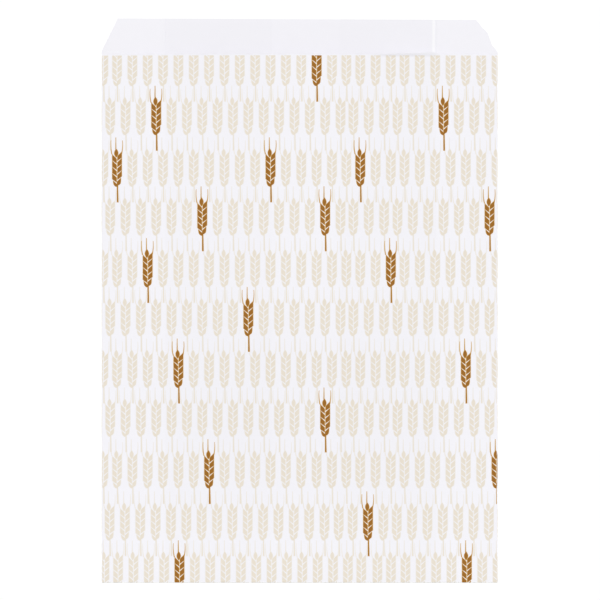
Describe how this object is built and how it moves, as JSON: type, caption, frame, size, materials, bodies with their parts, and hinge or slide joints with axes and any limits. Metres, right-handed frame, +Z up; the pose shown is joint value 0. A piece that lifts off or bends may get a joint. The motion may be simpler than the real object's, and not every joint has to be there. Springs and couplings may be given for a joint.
{
  "type": "bakery paper bag",
  "caption": "Flat gusseted bag of thin white paper with a lip behind its mouth and a wheat-ear print, for bread and pastries.",
  "frame": {"origin": "on the table under the middle of the bag, which lies flat on its back panel", "axes": "+X towards the bag's right edge as seen from its front, +Y from the glued bottom towards the mouth, +Z up out of the front panel"},
  "size_m": [0.2, 0.285, 0.0069],
  "materials": {
    "paper_bag": "thin machine-glazed bleached kraft, satin"
  },
  "bodies": {
    "root": {"paper_bag": "paper_bag"}
  },
  "joints": []
}
